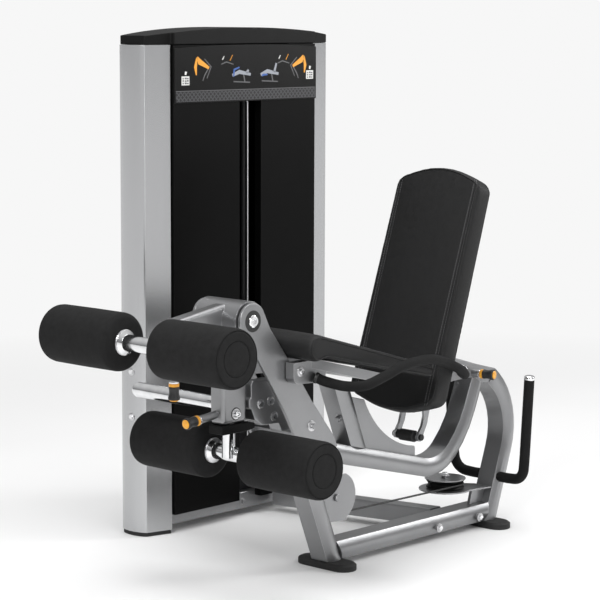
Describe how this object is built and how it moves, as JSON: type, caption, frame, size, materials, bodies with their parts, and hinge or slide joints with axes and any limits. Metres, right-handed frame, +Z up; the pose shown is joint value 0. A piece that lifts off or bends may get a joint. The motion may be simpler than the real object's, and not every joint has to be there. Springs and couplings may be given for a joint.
{
  "type": "leg extension machine",
  "caption": "Seated leg extension and prone leg curl machine: padded seat on a bent tube frame, roller lever, and a shrouded weight tower.",
  "frame": {"origin": "the floor under the middle of the front foot, in the middle plane of the seat frame", "axes": "+X from the front foot to the rear, the way the seated user's back faces; +Y from the seat to the weight tower; +Z up"},
  "size_m": [1.5337, 1.0577, 1.448],
  "materials": {
    "silver": "metallic silver powder coat, satin",
    "black": "satin black",
    "vinyl": "black grained upholstery vinyl",
    "foam": "matte black foam",
    "rubber": "matte black rubber",
    "chrome": "polished",
    "steel": "turned steel",
    "iron": "black painted iron",
    "amber": "black knob with amber ring",
    "panel": "gloss black panel"
  },
  "bodies": {
    "frame": {"base_tube": "silver", "cable_base": "black", "column_front": "silver", "column_rear": "silver", "diagonal_beam": "silver", "front_cover_far": "silver", "front_cover_near": "silver", "front_foot": "rubber", "front_leg": "silver", "front_shroud": "black", "guide_rod_front": "chrome", "guide_rod_rear": "chrome", "gusset": "silver", "lower_plates": "iron", "pivot_shaft": "chrome", "placard": "panel", "rear_foot": "rubber", "rear_handle": "foam", "rear_pulley_cap": "silver", "rear_pulley_plate": "silver", "rear_shroud": "black", "rear_upright": "silver", "seat_pad": "vinyl", "seat_pan": "silver", "seat_post": "silver", "seat_rail": "silver", "side_handle_far": "foam", "side_handle_near": "foam", "strut_far": "silver", "strut_near": "silver", "strut_spacer": "silver", "top_bracket": "silver", "top_cap": "black", "tower_base": "silver", "tower_beam": "silver", "tower_foot_front": "rubber", "tower_foot_rear": "rubber"},
    "lever": {"lever_arm": "silver", "lever_collar": "black", "side_bar": "chrome"},
    "upper_axle": {"upper_slide": "chrome"},
    "lower_axle": {"lower_slide": "chrome"},
    "upper_roller_near": {"upper_roller_near": "foam"},
    "upper_roller_far": {"upper_roller_far": "foam"},
    "lower_roller_near": {"lower_roller_near": "foam"},
    "lower_roller_far": {"lower_roller_far": "foam"},
    "upper_pin": {"upper_pin": "amber"},
    "lower_pin": {"lower_pin": "amber"},
    "back_pin": {"back_pin": "amber"},
    "backrest": {"back_pad": "vinyl", "back_plate": "silver", "recline_pin": "chrome", "stop_bumper": "rubber"},
    "carriage": {"head_plate": "iron", "lifted_plates": "iron", "selector_stem": "steel"},
    "selector_pin": {"selector_pin": "amber"},
    "front_pulley": {"front_pulley": "black"},
    "rear_pulley": {"rear_pulley": "black"},
    "top_pulley": {"top_pulley": "black"}
  },
  "joints": [
    {"name": "lever_swing", "type": "hinge", "parent": "frame", "child": "lever", "pos_m": [-0.38, 0, 0.718], "axis": [0, 1, 0], "range_deg": [0, 110]},
    {"name": "upper_reach", "type": "slide", "parent": "lever", "child": "upper_axle", "axis": [-0.9912, 0, -0.1323], "range_m": [-0.02, 0.06]},
    {"name": "lower_reach", "type": "slide", "parent": "lever", "child": "lower_axle", "axis": [0, 0, -1], "range_m": [-0.03, 0.06]},
    {"name": "upper_near_spin", "type": "hinge", "parent": "upper_axle", "child": "upper_roller_near", "pos_m": [-0.672, 0, 0.679], "axis": [0, 1, 0], "continuous": true},
    {"name": "upper_far_spin", "type": "hinge", "parent": "upper_axle", "child": "upper_roller_far", "pos_m": [-0.672, 0, 0.679], "axis": [0, 1, 0], "continuous": true},
    {"name": "lower_near_spin", "type": "hinge", "parent": "lower_axle", "child": "lower_roller_near", "pos_m": [-0.3626, 0, 0.3625], "axis": [0, 1, 0], "continuous": true},
    {"name": "lower_far_spin", "type": "hinge", "parent": "lower_axle", "child": "lower_roller_far", "pos_m": [-0.3626, 0, 0.3625], "axis": [0, 1, 0], "continuous": true},
    {"name": "upper_pin_pull", "type": "slide", "parent": "lever", "child": "upper_pin", "axis": [0, 0, -1], "range_m": [0, 0.01]},
    {"name": "lower_pin_pull", "type": "slide", "parent": "lever", "child": "lower_pin", "axis": [-0.995, 0, -0.0995], "range_m": [0, 0.01]},
    {"name": "back_pin_pull", "type": "slide", "parent": "frame", "child": "back_pin", "axis": [0.226, -0.9741, 0], "range_m": [0, 0.012]},
    {"name": "backrest_recline", "type": "hinge", "parent": "frame", "child": "backrest", "pos_m": [0.385, 0, 0.47], "axis": [0, 1, 0], "range_deg": [0, 60]},
    {"name": "stack_lift", "type": "slide", "parent": "frame", "child": "carriage", "axis": [0, 0, 1], "range_m": [0, 0.24]},
    {"name": "selector_pull", "type": "slide", "parent": "carriage", "child": "selector_pin", "axis": [0, -1, 0], "range_m": [0, 0.085]},
    {"name": "front_pulley_spin", "type": "hinge", "parent": "frame", "child": "front_pulley", "pos_m": [0.017, 0, 0.189], "axis": [0, 1, 0], "continuous": true},
    {"name": "rear_pulley_spin", "type": "hinge", "parent": "frame", "child": "rear_pulley", "pos_m": [0.575, 0.058, 0.131], "axis": [0, 0, 1], "continuous": true},
    {"name": "top_pulley_spin", "type": "hinge", "parent": "frame", "child": "top_pulley", "pos_m": [0.264, 0.622, 1.29], "axis": [1, 0, 0], "continuous": true}
  ],
  "couplings": [
    {"joint": "stack_lift", "follows": "lever_swing", "m_per_rad": 0.12},
    {"joint": "front_pulley_spin", "follows": "lever_swing", "ratio": -2.449},
    {"joint": "rear_pulley_spin", "follows": "lever_swing", "ratio": -2.2642},
    {"joint": "top_pulley_spin", "follows": "lever_swing", "ratio": -4.2857}
  ]
}
